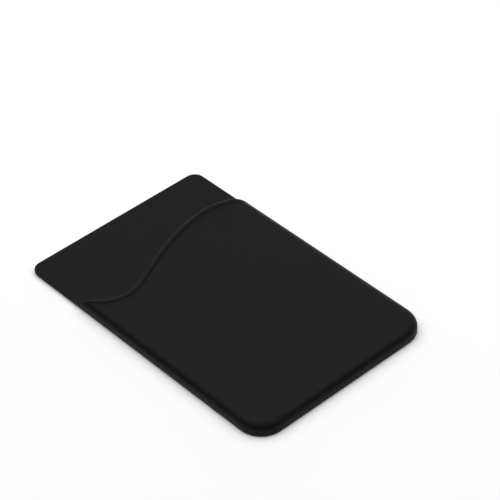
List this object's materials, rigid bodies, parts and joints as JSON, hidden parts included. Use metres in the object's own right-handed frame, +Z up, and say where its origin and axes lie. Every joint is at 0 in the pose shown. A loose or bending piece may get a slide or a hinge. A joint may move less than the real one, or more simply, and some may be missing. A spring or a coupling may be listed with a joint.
{
  "type": "stick-on silicone card pocket",
  "caption": "Flat moulded silicone card pocket with an S-shaped open mouth, rolled sides and an adhesive back, to stick on the back of a phone.",
  "frame": {"origin": "middle of the footprint, on the face that the pocket lies on", "axes": "+X across the width towards the high side of the mouth, +Y along the length towards the open end, +Z up out of the front panel"},
  "size_m": [0.0564, 0.087, 0.0045],
  "materials": {
    "silicone": "soft matt moulded silicone, black",
    "pad": "double-sided adhesive foam tape, dark grey",
    "liner": "siliconised release film, off-white, slightly glossy"
  },
  "bodies": {
    "root": {"silicone_pocket": "silicone", "adhesive_pad": "pad", "release_liner": "liner"}
  },
  "joints": []
}
